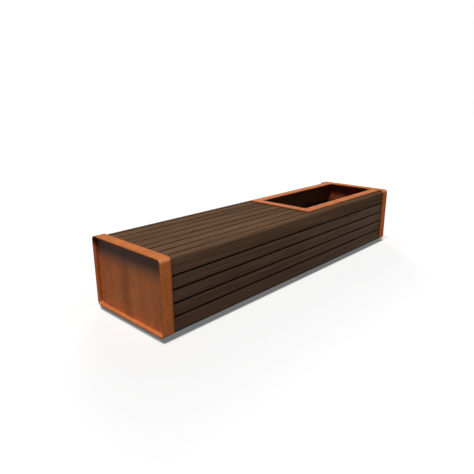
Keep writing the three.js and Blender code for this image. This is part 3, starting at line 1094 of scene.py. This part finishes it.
# The camera's place and its angles in degrees, of which the heading is counted from +X to +Y
EYE = (-2.4490, -1.9800, 1.1825)
EYE_HEADING = 43.10
EYE_PITCH = -16.79
EYE_ROLL = -0.18
EYE_FAR = 200.0
SENSOR_WIDTH = 36.0
FOCAL_PIXELS = 453.16
IMAGE_PIXELS = 474.0


def grey(level):
    return (level, level, level, 1.0)


class BENCH_OT_stage(bpy.types.Operator):
    """Sets the pale floor, the lamps, the world and the camera"""
    bl_idname = "bench.stage"
    bl_label = "Stage"

    def floor(self):
        """A floor with a painted shadow under the bench and painted shade near it, and that glows
        only for what sees it directly."""
        mesh = bpy.data.meshes.new("floor")
        corners = ((-1, -1), (1, -1), (1, 1), (-1, 1))
        mesh.from_pydata(
            [(x * FLOOR_HALF, y * FLOOR_HALF, 0.0) for x, y in corners], [], [(0, 1, 2, 3)])
        plane = linked("floor", mesh)
        surface = Surface("Pale floor")
        surface.tree.nodes.remove(surface.own("BSDF_PRINCIPLED"))
        seen = self.seen_directly(surface)
        away = self.distance_from_bench(surface)
        # Painted shade: the floor darker near the bench
        near = surface.ramp(away, 0.0, PAINTED_SHADE_REACH)
        pale = surface.mix(near, grey(FLOOR_NEAR_PAINTED_SHADE), grey(FLOOR_FAR))
        # A painted shadow: black under the bench, fading out round it
        pale = surface.mix(surface.ramp(away, 0.0, PAINTED_SHADOW_REACH), grey(0.0), pale)
        pale = surface.mix(seen, grey(FLOOR_UNSEEN), pale)
        far = surface.ramp(away, *GLOW_REACH)
        white = surface.math("ADD", GLOW_NEAR, surface.math("MULTIPLY", far, GLOW_MORE_FAR))
        both = surface.add("ShaderNodeAddShader")
        surface.feed(both.inputs[0], surface.add("ShaderNodeBsdfDiffuse", Color=pale))
        surface.feed(both.inputs[1], surface.add(
            "ShaderNodeEmission", Color=grey(1.0),
            Strength=surface.math("MULTIPLY", seen, white)))
        surface.feed_all(surface.own("OUTPUT_MATERIAL"), Surface=both)
        mesh.materials.append(surface.material)

    def distance_from_bench(self, surface):
        """How far a place on the floor lies outside the painted shadow under the bench."""
        where = surface.split(surface.place)
        beyond = []
        for axis, edge in zip("XY", cad_box[1]):
            across = surface.math(
                "ABSOLUTE", surface.math("ADD", where[axis], PAINTED_SHADOW_SHIFT[axis]))
            outside = surface.math("SUBTRACT", across, edge - PAINTED_SHADOW_INSET[axis])
            beyond.append(surface.math("MAXIMUM", outside, 0.0))
        return surface.distance(*beyond)

    def seen_directly(self, nodes):
        """1 for what the camera, a reflection or a clear body shows, and 0 for other light."""
        path = nodes.add("ShaderNodeLightPath").outputs
        return nodes.math(
            "MAXIMUM", path["Is Camera Ray"], path["Is Glossy Ray"],
            path["Is Transmission Ray"])

    def sun(self, name, azimuth, elevation, strength, angle):
        """A lamp that shines from the given azimuth and elevation."""
        lamp = bpy.data.lights.new(name, "SUN")
        lamp.energy = strength
        lamp.angle = math.radians(angle)
        flat = math.cos(math.radians(elevation))
        away = Vector((
            flat * math.cos(math.radians(azimuth)), flat * math.sin(math.radians(azimuth)),
            math.sin(math.radians(elevation))))
        linked(name, lamp).rotation_euler = away.to_track_quat("Z", "Y").to_euler()

    def world(self):
        """A sky that is white to what sees it directly and dim as a light."""
        sky = bpy.data.worlds.new("Studio")
        sky.use_nodes = True
        bpy.context.scene.world = sky
        nodes = Nodes(sky.node_tree)
        strength = nodes.between(self.seen_directly(nodes), SKY_UNSEEN, 1.0)
        nodes.feed_all(nodes.own("BACKGROUND"), Color=grey(1.0), Strength=strength)

    def camera(self):
        lens = bpy.data.cameras.new("Camera")
        lens.sensor_width = SENSOR_WIDTH
        lens.lens = FOCAL_PIXELS / IMAGE_PIXELS * lens.sensor_width
        lens.clip_end = EYE_FAR
        camera = linked("Camera", lens)
        camera.location = EYE
        turn = Matrix.Rotation(math.radians(EYE_HEADING) - math.pi / 2, 4, "Z")
        turn @= Matrix.Rotation(math.pi / 2 + math.radians(EYE_PITCH), 4, "X")
        turn @= Matrix.Rotation(math.radians(EYE_ROLL), 4, "Z")
        camera.rotation_euler = turn.to_euler()
        bpy.context.scene.camera = camera

    def execute(self, context):
        self.floor()
        self.world()
        for lamp in LAMPS:
            self.sun(*lamp)
        self.camera()
        bpy.context.scene.view_settings.view_transform = "Standard"
        return {"FINISHED"}


class BENCH_PT_panel(bpy.types.Panel):
    """Lists the bench's sizes, colours and pieces"""
    bl_label = "Bench with planter"
    bl_idname = "BENCH_PT_panel"
    bl_space_type = "VIEW_3D"
    bl_region_type = "UI"
    bl_category = "Bench"

    def draw(self, context):
        for group in (sizes(), colours()):
            for name in group.__annotations__:
                self.layout.prop(group, name)
        for operator in OPERATORS:
            self.layout.operator(operator.bl_idname)


OPERATORS = (
    BENCH_OT_hoops, BENCH_OT_panels, BENCH_OT_plain_boards, BENCH_OT_shaped_boards,
    BENCH_OT_planter, BENCH_OT_tubes, BENCH_OT_screws, BENCH_OT_feet, BENCH_OT_stage)
CLASSES = (BenchSizes, BenchColours, *OPERATORS, BENCH_PT_panel)


def register():
    for item in CLASSES:
        bpy.utils.register_class(item)
    bpy.types.Scene.bench_sizes = PointerProperty(type=BenchSizes)
    bpy.types.Scene.bench_colours = PointerProperty(type=BenchColours)


def unregister():
    del bpy.types.Scene.bench_colours
    del bpy.types.Scene.bench_sizes
    for item in reversed(CLASSES):
        bpy.utils.unregister_class(item)


def main():
    register()
    bpy.ops.bench.hoops()
    bpy.ops.bench.panels()
    bpy.ops.bench.plain_boards()
    bpy.ops.bench.shaped_boards()
    bpy.ops.bench.planter()
    bpy.ops.bench.tubes()
    bpy.ops.bench.screws()
    bpy.ops.bench.feet()
    bpy.ops.bench.stage()


if __name__ == "__main__":
    main()
